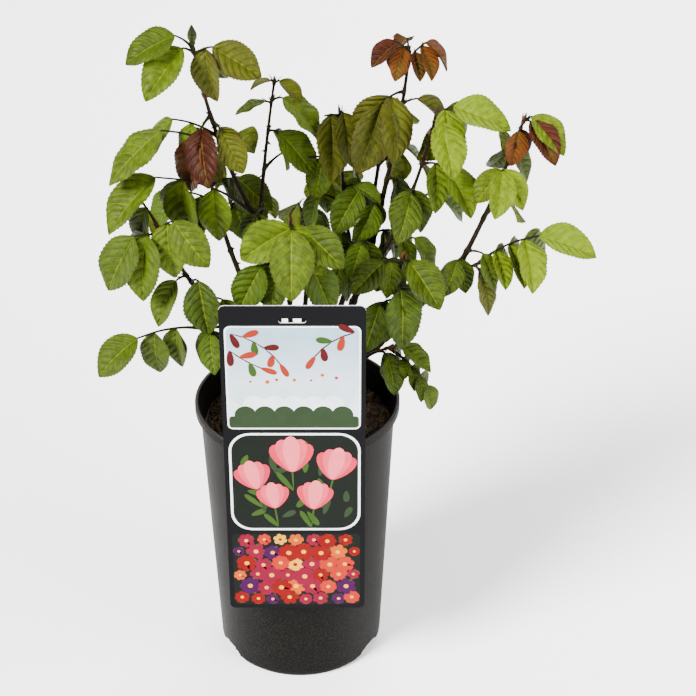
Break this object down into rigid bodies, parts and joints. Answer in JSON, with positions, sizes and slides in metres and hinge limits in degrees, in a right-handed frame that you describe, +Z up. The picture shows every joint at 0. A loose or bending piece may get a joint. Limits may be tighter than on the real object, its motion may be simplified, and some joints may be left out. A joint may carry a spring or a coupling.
{
  "type": "rose bush in a pot",
  "caption": "Young bush rose with open leafy canes growing from a tall tapered nursery pot of compost, with a plain picture card hooked over the rim.",
  "frame": {"origin": "centre of the pot's flat underside, which stands on the ground", "axes": "+Z up; -Y is the front, where the picture card hangs; +X is to the right, seen from the front"},
  "size_m": [0.4066, 0.2399, 0.6171],
  "materials": {
    "pot": "fine-grained dark grey moulded plastic",
    "soil": "moist dark compost with pale fibres",
    "card": "glossy printed plastic card",
    "bark": "thin satin bark, green to purple brown",
    "leaf": "satin green leaves, bronze-red at the shoot tips"
  },
  "bodies": {
    "root": {"pot": "pot", "soil": "soil", "label_card": "card", "rootstock": "bark", "cane_left": "bark", "cane_low_left": "bark", "cane_middle": "bark", "cane_right": "bark", "cane_front": "bark", "cane_back_left": "bark", "cane_back": "bark", "cane_back_right": "bark", "foliage_left_tall": "leaf", "foliage_left_inner": "leaf", "foliage_left_crown": "leaf", "foliage_low_left": "leaf", "foliage_front": "leaf", "foliage_middle": "leaf", "foliage_top": "leaf", "foliage_right_crown": "leaf", "foliage_right_far": "leaf", "foliage_right_low": "leaf", "foliage_front_right": "leaf", "foliage_rim_right": "leaf", "foliage_back_left": "leaf", "foliage_back": "leaf", "foliage_back_right": "leaf"}
  },
  "joints": []
}
